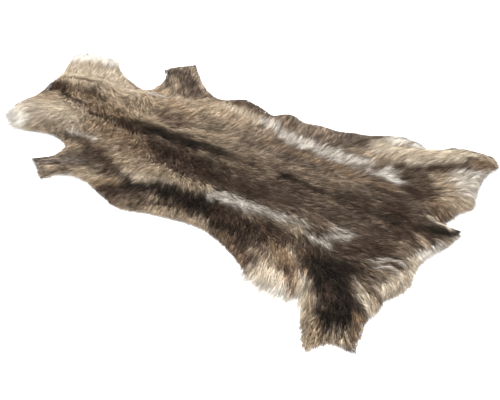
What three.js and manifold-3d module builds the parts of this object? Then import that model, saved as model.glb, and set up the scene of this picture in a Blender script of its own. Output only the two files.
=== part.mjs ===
// A reindeer hide, tanned with its hair on, laid out on the floor with the hair up.
// Millimetres. +X runs back along the spine from the neck to the tail, +Y out to the animal's right
// and +Z up. The origin is on the floor, at the middle of the hide's length and width.
import * as THREE from "three";
import { mergeVertices } from "three/addons/utils/BufferGeometryUtils.js";
import Module from "manifold-3d";

// Driving dimensions
const skinThickness = 2;
const bodyPile = 15; // depth of the lying coat on the body
const edgePile = 3; // depth of the coat at the cut edge
const edgeRounding = 46; // the coat builds up to its full depth this far in from the edge
const outlineStep = 13; // length of one straight piece of the cut edge
const gridStep = 20; // size of one facet of the coat and of the skin's underside
const gridMargin = 30; // the slab reaches this far past the outline before it is trimmed

// Cuts across the body: where each one crosses the right and the left edge.
const bodySections = [
  { at: "withers", x: -120, right: 258, left: -232 },
  { at: "behind the shoulder", x: -50, right: 281, left: -249 },
  { at: "chest", x: 10, right: 267, left: -230 },
  { at: "last rib", x: 56, right: 253, left: -220 },
  { at: "lifted edge", x: 102, right: 279, left: -211 },
  { at: "waist", x: 130, right: 273, left: -208 },
  { at: "belly", x: 164, right: 274, left: -210 },
  { at: "loin", x: 210, right: 286, left: -223 },
  { at: "flank", x: 262, right: 309, left: -246 },
  { at: "groin front", x: 305, right: 325, left: -271 },
  { at: "groin", x: 350, right: 344, left: -295 },
  { at: "groin tuft", x: 414, right: 366, left: -302 },
];

// Cuts along the rump: how far back it reaches at each distance from the middle.
const rumpSections = [
  { at: "right haunch", y: 277, x: 606 },
  { at: "right haunch", y: 226, x: 618 },
  { at: "right buttock", y: 180, x: 627 },
  { at: "right buttock", y: 144, x: 605 },
  { at: "right of the tail", y: 112, x: 599 },
  { at: "notch beside the tail", y: 84, x: 591, corner: true },
  { at: "top of the tail", y: 68, x: 613 },
  { at: "tail tip", y: 88, x: 637, corner: true },
  { at: "tail", y: 58, x: 633 },
  { at: "left of the tail", y: 18, x: 622 },
  { at: "left buttock", y: -22, x: 607 },
  { at: "left buttock", y: -70, x: 594 },
  { at: "left haunch", y: -135, x: 605 },
  { at: "left haunch", y: -160, x: 601 },
  { at: "left haunch", y: -180, x: 588 },
  { at: "left haunch", y: -202, x: 573 },
  { at: "left haunch", y: -232, x: 580 },
];

// The neck flaps and the legs, each cut square across its tip. A hollow is how far the middle of a
// side is drawn in, and a notch is how far the middle of the tip is.
const flaps = [
  {
    name: "right neck flap",
    frontRoot: [-557, 62], frontHollow: 6, frontTip: [-636, 252],
    rearTip: [-508, 291], rearHollow: 14, rearRoot: [-382, 206], notch: -4,
  },
  {
    name: "right foreleg",
    frontRoot: [-318, 193], frontHollow: 29, frontTip: [-354, 314],
    rearTip: [-292, 386], rearHollow: 4, rearRoot: [-175, 279], notch: 4,
  },
  {
    name: "right hind leg",
    frontRoot: [470, 338], frontHollow: -22, frontTip: [596, 393],
    rearTip: [622, 357], rearHollow: 3, rearRoot: [606, 300], notch: -2,
  },
  {
    name: "left hind leg",
    frontRoot: [436, -270], frontHollow: -4, frontTip: [508, -392],
    rearTip: [589, -349], rearHollow: 2, rearRoot: [573, -262], notch: 20,
  },
  {
    name: "left foreleg",
    frontRoot: [-318, -130], frontHollow: 20, frontTip: [-358, -211],
    rearTip: [-269, -268], rearHollow: 25, rearRoot: [-184, -212], notch: 2,
  },
  {
    name: "left neck flap",
    frontRoot: [-557, 18], frontHollow: -8, frontTip: [-573, -98],
    rearTip: [-486, -145], rearHollow: 10, rearRoot: [-376, -110], notch: -4,
  },
];

// Soft rolls in which the skin leaves the floor, each running from one point to another, bowed
// sideways in the middle, and dying out at both ends and at its half width.
const folds = [
  { name: "neck roll", from: [-578, 62], to: [-322, 60], bow: 50, height: 27, halfWidth: 46 },
  { name: "neck roll, rear", from: [-440, 122], to: [-236, 114], bow: 4, height: 15, halfWidth: 44 },
  { name: "left side of the neck", from: [-600, -74], to: [-270, -30], bow: 10, height: 13, halfWidth: 62 },
  { name: "right shoulder", from: [-330, 128], to: [-20, 170], bow: 14, height: 12, halfWidth: 62 },
  { name: "lifted right edge, front", from: [-90, 290], to: [92, 234], bow: 8, height: 13, halfWidth: 40 },
  { name: "lifted right edge, peak", from: [112, 320], to: [78, 222], bow: 0, height: 18, halfWidth: 32 },
  { name: "lifted right edge, rear", from: [120, 288], to: [232, 246], bow: 6, height: 13, halfWidth: 32 },
  { name: "right flank", from: [120, 214], to: [400, 190], bow: 10, height: 11, halfWidth: 48 },
  { name: "right hind leg roll", from: [350, 226], to: [616, 366], bow: -12, height: 25, halfWidth: 44 },
  { name: "right groin roll", from: [440, 318], to: [590, 372], bow: 4, height: 10, halfWidth: 28 },
  { name: "left flank", from: [-190, -150], to: [450, -78], bow: 16, height: 16, halfWidth: 56 },
  { name: "loin", from: [10, 52], to: [480, 66], bow: 10, height: 8, halfWidth: 50 },
  { name: "left haunch", from: [440, -96], to: [540, -330], bow: 12, height: 14, halfWidth: 55 },
  { name: "rump", from: [500, 40], to: [600, 210], bow: -14, height: 9, halfWidth: 44 },
  { name: "left foreleg", from: [-370, -240], to: [-180, -170], bow: 0, height: 9, halfWidth: 30 },
  { name: "right foreleg", from: [-336, 368], to: [-240, 236], bow: 0, height: 8, halfWidth: 32 },
  { name: "tail", from: [560, 48], to: [660, 92], bow: 0, height: 7, halfWidth: 26 },
];
const ripple = { height: 5, floor: 1, alongSpine: 60, acrossSpine: 52 }; // mild waves all over

// Where the coat is thinner or deeper than on the body, as a share of the body's depth.
const coatDepths = [
  { name: "right foreleg", x: -322, y: 340, radius: 130, share: 0.3 },
  { name: "left foreleg", x: -300, y: -222, radius: 110, share: 0.3 },
  { name: "right hind leg tip", x: 606, y: 366, radius: 70, share: 0.5 },
  { name: "left hind leg tip", x: 548, y: -362, radius: 80, share: 0.6 },
  { name: "neck", x: -520, y: 90, radius: 180, share: 1.15 },
];

const clamp01 = (t) => Math.min(1, Math.max(0, t));
const smoothStep = (t) => clamp01(t) ** 2 * (3 - 2 * clamp01(t));

// The middle of the line from a to b, moved by a distance towards the point inner.
function drawnMiddle(a, b, distance, inner) {
  const middle = new THREE.Vector2((a[0] + b[0]) / 2, (a[1] + b[1]) / 2);
  const inwards = new THREE.Vector2(...inner).sub(middle).normalize();
  return { x: middle.x + distance * inwards.x, y: middle.y + distance * inwards.y };
}

// A flap's landmarks from its front root round its tip to its rear root.
function flapLandmarks(flap) {
  const { frontRoot, frontTip, rearTip, rearRoot } = flap;
  const corners = [frontRoot, frontTip, rearTip, rearRoot];
  const heart = [0, 1].map((i) => corners.reduce((sum, point) => sum + point[i], 0) / corners.length);
  return [
    { x: frontRoot[0], y: frontRoot[1] },
    drawnMiddle(frontRoot, frontTip, flap.frontHollow, heart),
    { x: frontTip[0], y: frontTip[1], corner: true },
    drawnMiddle(frontTip, rearTip, flap.notch, heart),
    { x: rearTip[0], y: rearTip[1], corner: true },
    drawnMiddle(rearTip, rearRoot, flap.rearHollow, heart),
    { x: rearRoot[0], y: rearRoot[1] },
  ];
}

// All landmarks in order: back along the right edge, round the rump and forward along the left edge.
function outlineLandmarks() {
  const flap = (name) => flapLandmarks(flaps.find((row) => row.name === name));
  const rightBody = bodySections.map((row) => ({ x: row.x, y: row.right }));
  const leftBody = bodySections.map((row) => ({ x: row.x, y: row.left })).reverse();
  return [
    ...flap("right neck flap"),
    ...flap("right foreleg"),
    ...rightBody,
    ...flap("right hind leg"),
    ...rumpSections,
    ...flap("left hind leg").reverse(),
    ...leftBody,
    ...flap("left foreleg").reverse(),
    ...flap("left neck flap").reverse(),
  ];
}

// The cut edge: smooth curves from corner to corner, in straight pieces of about outlineStep.
function cutEdge() {
  const marks = outlineLandmarks();
  const first = marks.findIndex((mark) => mark.corner);
  const turned = [...marks.slice(first), ...marks.slice(0, first + 1)];
  const edge = [];
  let run = [turned[0]];
  for (const mark of turned.slice(1)) {
    run.push(mark);
    if (!mark.corner) continue;
    const curve = new THREE.CatmullRomCurve3(
      run.map((point) => new THREE.Vector3(point.x, point.y, 0)), false, "centripetal");
    const pieces = Math.max(2, Math.round(curve.getLength() / outlineStep));
    edge.push(...curve.getSpacedPoints(pieces).slice(0, -1));
    run = [mark];
  }
  return edge.map((point) => new THREE.Vector2(point.x, point.y));
}

// How far the point (x, y) is from the segment a-b.
function distanceToSegment(x, y, ax, ay, bx, by) {
  const length2 = (bx - ax) ** 2 + (by - ay) ** 2;
  const t = clamp01(((x - ax) * (bx - ax) + (y - ay) * (by - ay)) / length2);
  return Math.hypot(x - ax - t * (bx - ax), y - ay - t * (by - ay));
}

// Height of one fold over (x, y): its crest's height, less a fourth power along it and the square
// of a parabola across it.
function foldHeight(fold, x, y) {
  const [ax, ay] = fold.from;
  const [bx, by] = fold.to;
  const length = Math.hypot(bx - ax, by - ay);
  const along = ((x - ax) * (bx - ax) + (y - ay) * (by - ay)) / length ** 2;
  if (along <= 0 || along >= 1) return 0;
  const sideways = ((y - ay) * (bx - ax) - (x - ax) * (by - ay)) / length;
  const across = (sideways - fold.bow * 4 * along * (1 - along)) / fold.halfWidth;
  if (Math.abs(across) >= 1) return 0;
  return fold.height * (1 - (2 * along - 1) ** 4) * (1 - across ** 2) ** 2;
}

// Height of the mild waves: the upper part of two crossed and bent sine waves.
function rippleHeight(x, y) {
  const wave = Math.sin(x / ripple.alongSpine + 0.7 * Math.sin(y / 90))
    * Math.sin(y / ripple.acrossSpine + 0.8 * Math.sin(x / 110));
  return Math.max(0, ripple.height * wave - ripple.floor);
}

// Height of the skin's underside: the folds and waves, and the floor itself between them.
function undersideHeight(x, y) {
  return folds.reduce((height, fold) => height + foldHeight(fold, x, y), rippleHeight(x, y));
}

// Depth of the coat well inside the edge.
function coatDepth(x, y) {
  return coatDepths.reduce((depth, spot) => {
    const near = 1 - smoothStep(Math.hypot(x - spot.x, y - spot.y) / spot.radius);
    return depth * (1 + near * (spot.share - 1));
  }, bodyPile);
}

// Height of the coat's top, which rounds down to the cut edge.
function topHeight(x, y, edge) {
  let away = Infinity;
  edge.forEach((a, i) => {
    const b = edge[(i + 1) % edge.length];
    away = Math.min(away, distanceToSegment(x, y, a.x, a.y, b.x, b.y));
  });
  const inwards = clamp01(away / edgeRounding);
  const rounded = Math.sqrt(1 - (1 - inwards) ** 2);
  const depth = coatDepth(x, y);
  return undersideHeight(x, y) + skinThickness + Math.min(edgePile, depth)
    + Math.max(0, depth - edgePile) * rounded;
}

// A closed slab over the whole grid, with the coat's top above and the skin's underside below.
function slabGeometry(edge) {
  const box = new THREE.Box2().setFromPoints(edge).expandByScalar(gridMargin);
  const columns = Math.ceil((box.max.x - box.min.x) / gridStep);
  const rows = Math.ceil((box.max.y - box.min.y) / gridStep);
  const positions = [];
  for (const surface of [undersideHeight, topHeight]) {
    for (let j = 0; j <= rows; j++) {
      for (let i = 0; i <= columns; i++) {
        const x = box.min.x + i * gridStep;
        const y = box.min.y + j * gridStep;
        positions.push(x, y, surface(x, y, edge));
      }
    }
  }
  const layer = (rows + 1) * (columns + 1);
  const bottom = (i, j) => j * (columns + 1) + i;
  const top = (i, j) => layer + bottom(i, j);
  const triangles = [];
  const quad = (a, b, c, d) => triangles.push(a, b, c, a, c, d);
  for (let j = 0; j < rows; j++) {
    for (let i = 0; i < columns; i++) {
      quad(bottom(i, j), bottom(i, j + 1), bottom(i + 1, j + 1), bottom(i + 1, j));
      quad(top(i, j), top(i + 1, j), top(i + 1, j + 1), top(i, j + 1));
    }
  }
  for (let i = 0; i < columns; i++) {
    quad(bottom(i, 0), bottom(i + 1, 0), top(i + 1, 0), top(i, 0));
    quad(bottom(i + 1, rows), bottom(i, rows), top(i, rows), top(i + 1, rows));
  }
  for (let j = 0; j < rows; j++) {
    quad(bottom(0, j + 1), bottom(0, j), top(0, j), top(0, j + 1));
    quad(bottom(columns, j), bottom(columns, j + 1), top(columns, j + 1), top(columns, j));
  }
  const geometry = new THREE.BufferGeometry();
  geometry.setAttribute("position", new THREE.Float32BufferAttribute(positions, 3));
  geometry.setIndex(triangles);
  return geometry;
}

// An upright prism over the outline, taller than the slab everywhere.
function outlinePrism(edge) {
  const tall = 200;
  const prism = new THREE.ExtrudeGeometry(new THREE.Shape(edge), { depth: 2 * tall, bevelEnabled: false });
  return prism.translate(0, 0, -tall);
}

function toSolid(wasm, geometry) {
  const bare = geometry.clone();
  bare.deleteAttribute("normal");
  bare.deleteAttribute("uv");
  const merged = mergeVertices(bare);
  return new wasm.Manifold(new wasm.Mesh({
    numProp: 3,
    vertProperties: merged.attributes.position.array,
    triVerts: new Uint32Array(merged.index.array),
  }));
}

function toGeometry(solid) {
  const mesh = solid.getMesh();
  const geometry = new THREE.BufferGeometry();
  geometry.setAttribute("position", new THREE.BufferAttribute(mesh.vertProperties, 3));
  geometry.setIndex(new THREE.BufferAttribute(mesh.triVerts, 1));
  geometry.computeVertexNormals();
  return geometry;
}

const wasm = await Module();
wasm.setup();

const furMaterial = new THREE.MeshStandardMaterial({ color: 0x6e6052, roughness: 0.9, metalness: 0 });

// One solid: the skin and its coat, as one uneven sheet.
const edge = cutEdge();
const hide = new THREE.Mesh(
  toGeometry(toSolid(wasm, slabGeometry(edge)).intersect(toSolid(wasm, outlinePrism(edge)))),
  furMaterial);
hide.name = "hide";

const part = new THREE.Group();
part.add(hide);

export default part;
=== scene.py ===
import bpy
import numpy as np
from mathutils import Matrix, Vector
from mathutils.bvhtree import BVHTree
from mathutils.geometry import delaunay_2d_cdt


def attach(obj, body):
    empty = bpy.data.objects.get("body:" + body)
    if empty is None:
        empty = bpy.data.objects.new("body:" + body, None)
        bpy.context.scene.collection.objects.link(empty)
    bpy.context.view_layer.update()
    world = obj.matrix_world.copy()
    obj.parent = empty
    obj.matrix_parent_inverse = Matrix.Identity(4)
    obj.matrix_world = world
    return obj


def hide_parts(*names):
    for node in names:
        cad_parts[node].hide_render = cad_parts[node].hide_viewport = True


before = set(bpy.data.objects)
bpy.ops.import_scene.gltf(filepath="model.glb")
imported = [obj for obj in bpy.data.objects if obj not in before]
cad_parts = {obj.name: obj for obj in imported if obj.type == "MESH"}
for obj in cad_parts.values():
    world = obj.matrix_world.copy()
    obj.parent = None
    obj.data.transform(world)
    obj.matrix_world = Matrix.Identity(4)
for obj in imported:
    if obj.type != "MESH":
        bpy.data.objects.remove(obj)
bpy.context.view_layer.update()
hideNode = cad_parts["hide"]
mm = 0.001
print("frame loaded")

view = {"position": (956, -1279, 1126), "target": (182, -63, 0), "lens": 57.6, "sensor": 36}


def addCamera():
    data = bpy.data.cameras.new("camera")
    data.lens = view["lens"]
    data.sensor_width = view["sensor"]
    camera = bpy.data.objects.new("camera", data)
    bpy.context.scene.collection.objects.link(camera)
    place = Vector(view["position"]) * mm
    camera.location = place
    camera.rotation_euler = (Vector(view["target"]) * mm - place).to_track_quat("-Z", "Y").to_euler()
    bpy.context.scene.camera = camera


addCamera()


class Wire:
    # A node's output that can be added to or multiplied by a number, each as one Math node.
    def __init__(self, tree, socket):
        self.tree = tree
        self.socket = socket

    def math(self, operation, other):
        return addNode(self.tree, "ShaderNodeMath", {"operation": operation}, {0: other, 1: self})

    def __add__(self, other):
        return self.math("ADD", other)

    def __radd__(self, other):
        return self.math("ADD", other)

    def __rmul__(self, factor):
        return self.math("MULTIPLY", factor)


def addNode(tree, kind, settings, inputs, output=0):
    # Adds a node, applies its settings, then fills or links its sockets.
    node = tree.nodes.new(kind)
    for key, value in settings.items():
        setattr(node, key, value)
    fillSockets(tree, node, inputs)
    return Wire(tree, node.outputs[output])


def fillSockets(tree, node, inputs):
    for key, value in inputs.items():
        if isinstance(value, Wire):
            tree.links.new(value.socket, node.inputs[key])
        else:
            node.inputs[key].default_value = value


def multiplied(tree, first, second):
    return addNode(tree, "ShaderNodeMix", {"data_type": "RGBA", "blend_type": "MULTIPLY"},
                   {0: 1.0, 6: first, 7: second}, 2)


def ramp(tree, factor, *stops):
    # A ramp of greys: each stop is a place from 0 to 1 and the grey there.
    spread = addNode(tree, "ShaderNodeValToRGB", {}, {"Fac": factor})
    for element, (place, grey) in zip(spread.socket.node.color_ramp.elements, stops):
        element.position = place
        element.color = (grey, grey, grey, 1)
    return spread


def noise(tree, place, scale, detail, roughness=0.55):
    return addNode(tree, "ShaderNodeTexNoise", {},
                   {"Vector": place, "Scale": scale, "Detail": detail, "Roughness": roughness})


def bump(tree, height, strength, distance):
    return addNode(tree, "ShaderNodeBump", {},
                   {"Strength": strength, "Distance": distance, "Height": height})


def coatColour(tree):
    return addNode(tree, "ShaderNodeAttribute", {"attribute_name": "coat"}, {}, "Color")


def objectPlace(tree):
    return addNode(tree, "ShaderNodeTexCoord", {}, {}, "Object")


def newMaterial(name):
    material = bpy.data.materials.new(name)
    material.use_nodes = True
    tree = material.node_tree
    return material, tree, tree.nodes["Principled BSDF"]


hairFinish = {"roughness": 0.58, "roughnessSwing": 0.14, "specular": 0.12,
              "fibreScale": 900, "fibreBump": 0.25, "fibreHeight": 0.00012, "fibreShade": 0.82}


def makeHairMaterial():
    # Colour from the strands' own attribute, and fibre noise for roughness and bump.
    material, tree, surface = newMaterial("winter hair")
    fibre = noise(tree, objectPlace(tree), hairFinish["fibreScale"], 2.0)
    streaked = multiplied(tree, coatColour(tree),
                          ramp(tree, fibre, (0.3, hairFinish["fibreShade"]), (0.7, 1.0)))
    fillSockets(tree, surface, {
        "Base Color": streaked, "Specular IOR Level": hairFinish["specular"],
        "Normal": bump(tree, fibre, hairFinish["fibreBump"], hairFinish["fibreHeight"]),
        "Roughness": hairFinish["roughness"] + hairFinish["roughnessSwing"] * fibre})
    return material


# dark and light: how deep the painted shade on the under-wool's coat colour goes
woolFinish = {"dark": 0.21, "light": 0.546, "tuftScale": 260, "tuftBump": 0.6, "tuftHeight": 0.0012,
              "roughness": 0.95, "specular": 0.1}


def makeWoolMaterial():
    # The short under-wool that shows between the hairs: the coat's colour darkened as painted deep shade.
    material, tree, surface = newMaterial("under wool in painted shade")
    tuft = noise(tree, objectPlace(tree), woolFinish["tuftScale"], 4.0)
    shaded = multiplied(tree, coatColour(tree),
                        ramp(tree, tuft, (0.25, woolFinish["dark"]), (0.75, woolFinish["light"])))
    fillSockets(tree, surface, {
        "Base Color": shaded, "Roughness": woolFinish["roughness"],
        "Normal": bump(tree, tuft, woolFinish["tuftBump"], woolFinish["tuftHeight"]),
        "Specular IOR Level": woolFinish["specular"]})
    return material


suedeFinish = {"pale": (0.66, 0.56, 0.43, 1), "tan": (0.47, 0.36, 0.25, 1), "napScale": 700,
               "blotchScale": 9, "napBump": 0.35, "napHeight": 0.0004, "roughness": 0.84,
               "roughnessSwing": 0.1, "specular": 0.15}


def makeSuedeMaterial():
    # The flesh side: pale napped leather with tan blotches.
    material, tree, surface = newMaterial("flesh side suede")
    place = objectPlace(tree)
    blotch = noise(tree, place, suedeFinish["blotchScale"], 5.0, 0.6)
    nap = noise(tree, place, suedeFinish["napScale"], 4.0, 0.7)
    spread = ramp(tree, 0.75 * blotch + 0.25 * nap, (0.35, 0), (0.7, 1))
    colour = addNode(tree, "ShaderNodeMix", {"data_type": "RGBA"},
                     {0: spread, 6: suedeFinish["pale"], 7: suedeFinish["tan"]}, 2)
    fillSockets(tree, surface, {
        "Base Color": colour, "Specular IOR Level": suedeFinish["specular"],
        "Normal": bump(tree, nap, suedeFinish["napBump"], suedeFinish["napHeight"]),
        "Roughness": suedeFinish["roughness"] + suedeFinish["roughnessSwing"] * blotch})
    return material


hairMaterial = makeHairMaterial()
woolMaterial = makeWoolMaterial()
suedeMaterial = makeSuedeMaterial()
print("materials made")

# The ground plan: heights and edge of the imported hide, on a regular grid.
relief = {"step": 4.0, "margin": 72, "nudge": 0.137, "soften": 3, "below": -50, "above": 150}


def readMesh(node):
    # Corner places of all triangles, in millimetres.
    node.data.calc_loop_triangles()
    places = np.empty(3 * len(node.data.vertices))
    corners = np.empty(3 * len(node.data.loop_triangles), np.int64)
    node.data.vertices.foreach_get("co", places)
    node.data.loop_triangles.foreach_get("vertices", corners)
    return places.reshape(-1, 3)[corners].reshape(-1, 3, 3) / mm


def openSides(triangles):
    # The corner pairs of the sides that belong to one triangle only.
    sides = np.concatenate([triangles[:, [0, 1]], triangles[:, [1, 2]], triangles[:, [2, 0]]]).tolist()
    known = set(map(tuple, sides))
    return [(a, b) for a, b in sides if (b, a) not in known]


def readOutline(triangles):
    # The cut edge in order: the sides that only one of the floor side's triangles has, end to end.
    normals = np.cross(triangles[:, 1] - triangles[:, 0], triangles[:, 2] - triangles[:, 0])
    floorSide = triangles[normals[:, 2] < -0.3 * np.linalg.norm(normals, axis=1)]
    points, index = np.unique(np.round(floorSide.reshape(-1, 3)[:, :2], 2), axis=0, return_inverse=True)
    index = index.reshape(-1, 3)
    following = dict(openSides(index))
    loop = [next(iter(following))]
    while following[loop[-1]] != loop[0]:
        loop.append(following[loop[-1]])
    return points[loop][::-1]


def distanceToPath(x, y, path, closed=False):
    # The shortest distance from each (x, y) to the line through the path's points.
    path = np.asarray(path, float)
    ends = np.roll(path, -1, axis=0) if closed else path[1:]
    starts = path if closed else path[:-1]
    nearest = np.full(np.shape(x), np.inf)
    for (ax, ay), (bx, by) in zip(starts, ends):
        reach = max((bx - ax) ** 2 + (by - ay) ** 2, 1e-9)
        along = np.clip(((x - ax) * (bx - ax) + (y - ay) * (by - ay)) / reach, 0, 1)
        away = np.hypot(x - ax - along * (bx - ax), y - ay - along * (by - ay))
        nearest = np.minimum(nearest, away)
    return nearest


def spreadOutwards(field, known):
    # Gives each unknown cell the mean of its known neighbours, ring after ring.
    field = np.where(known, field, 0.0)
    shifts = [(0, 1), (0, -1), (1, 0), (-1, 0), (1, 1), (-1, -1), (1, -1), (-1, 1)]
    while not known.all():
        total = sum(np.roll(field * known, shift, (0, 1)) for shift in shifts)
        count = sum(np.roll(known, shift, (0, 1)).astype(int) for shift in shifts)
        fresh = ~known & (count > 0)
        field = np.where(fresh, total / np.maximum(count, 1), field)
        known = known | fresh
    return field


def blur(field, times):
    # Repeated three-by-three mean.
    for _ in range(times):
        padded = np.pad(field, 1, mode="edge")
        field = sum(padded[i:i + field.shape[0], j:j + field.shape[1]]
                    for i in range(3) for j in range(3)) / 9
    return field


class Ground:
    # Fields over the hide on one grid: skin height, coat depth and distance in from the cut edge.
    def __init__(self, node):
        triangles = readMesh(node)
        self.outline = readOutline(triangles)
        self.low = self.outline.min(axis=0) - relief["margin"] + relief["nudge"]
        high = self.outline.max(axis=0) + relief["margin"]
        self.x, self.y = (np.arange(self.low[k], high[k], relief["step"]) for k in (0, 1))
        flat = triangles.reshape(-1, 3)
        tree = BVHTree.FromPolygons(flat.tolist(), np.arange(len(flat)).reshape(-1, 3).tolist())
        under = self.firstHits(tree, relief["below"], Vector((0, 0, 1)))
        over = np.nan_to_num(self.firstHits(tree, relief["above"], Vector((0, 0, -1))))
        inside = ~np.isnan(under)
        self.grid = np.meshgrid(self.x, self.y)
        away = distanceToPath(*self.grid, self.outline, closed=True)
        self.edge = np.where(inside, away, -away)
        self.under = blur(spreadOutwards(under, inside), relief["soften"])
        self.depth = blur(spreadOutwards(over - under, inside), relief["soften"])

    def firstHits(self, tree, start, way):
        # The height at which a ray from each grid point first meets the hide, and nan where none does.
        hits = [[tree.ray_cast(Vector((x, y, start)), way)[0] for x in self.x] for y in self.y]
        return np.array([[hit.z if hit else np.nan for hit in row] for row in hits])

    def read(self, field, x, y):
        # Bilinear reading of a field at any places.
        u = np.clip((x - self.low[0]) / relief["step"], 0, len(self.x) - 1.001)
        v = np.clip((y - self.low[1]) / relief["step"], 0, len(self.y) - 1.001)
        i, j = u.astype(int), v.astype(int)
        fu, fv = u - i, v - j
        if field.ndim == 3:
            fu, fv = fu[..., None], fv[..., None]
        return ((field[j, i] * (1 - fu) + field[j, i + 1] * fu) * (1 - fv)
                + (field[j + 1, i] * (1 - fu) + field[j + 1, i + 1] * fu) * fv)


ground = Ground(hideNode)
print("ground plan read,", len(ground.outline), "edge points")

# Seeded randomness: one stream of draws, and a lattice of fixed values for waves and locks.
dice = np.random.default_rng(73)
latticeSide = 256
lattice = np.random.default_rng(11).random((8, latticeSide, latticeSide))
waveStart = (57.3, 91.7)


def smooth(t):
    # From 0 to 1 with soft ends.
    return t * t * (3 - 2 * t)


def waves(x, y, size, layer):
    # Smooth random waves from 0 to 1: a table of random heights, blended between its corners.
    u, v = x / size + waveStart[0], y / size + waveStart[1]
    i, j = np.floor(u).astype(int), np.floor(v).astype(int)
    fu, fv = smooth(u - i), smooth(v - j)
    a, b, c, d = (lattice[layer, (j + dj) % latticeSide, (i + di) % latticeSide]
                  for dj in (0, 1) for di in (0, 1))
    return (a * (1 - fu) + b * fu) * (1 - fv) + (c * (1 - fu) + d * fu) * fv


# How far the hair reaches past the cut of the skin.
usualReach = 8
overhangs = [  # name, x, y, radius, reach
    ("left flap mane", -540, -90, 165, 42),
    ("right flap mane", -550, 272, 120, 40),
    ("right flap corner", -618, 250, 60, 22),
    ("left groin", 385, -300, 110, 38),
    ("right groin", 430, 345, 110, 36),
    ("right haunch edge", 625, 215, 90, 22),
    ("left haunch edge", 605, -140, 80, 20),
    ("tail", 630, 50, 50, 24),
    ("left chest", -40, -245, 90, 14),
    ("right flank", 300, 300, 90, 16),
]


def fall(distance, radius):
    # 1 at the middle and 0 past the radius.
    return smooth(np.clip(1 - distance / radius, 0, 1))


neatEdges = [  # name, x, y, radius of the places where no hair strays past the outline
    ("notch beside the tail", 604, 88, 34),
    ("right flap front", -606, 150, 70),
]


def neatness(x, y):
    # 1 in the middle of a neat place and 0 away from all of them.
    return np.max([fall(np.hypot(x - cx, y - cy), radius) for name, cx, cy, radius in neatEdges], axis=0)


def reachPastSkin(x, y):
    # The greatest of the usual reach and each row's own, which falls off to its radius.
    own = [amount * fall(np.hypot(x - cx, y - cy), radius) for name, cx, cy, radius, amount in overhangs]
    return np.maximum(usualReach, np.max(own, axis=0))


ground.inset = ground.edge - reachPastSkin(*ground.grid)  # above 0 on the skin

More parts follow.
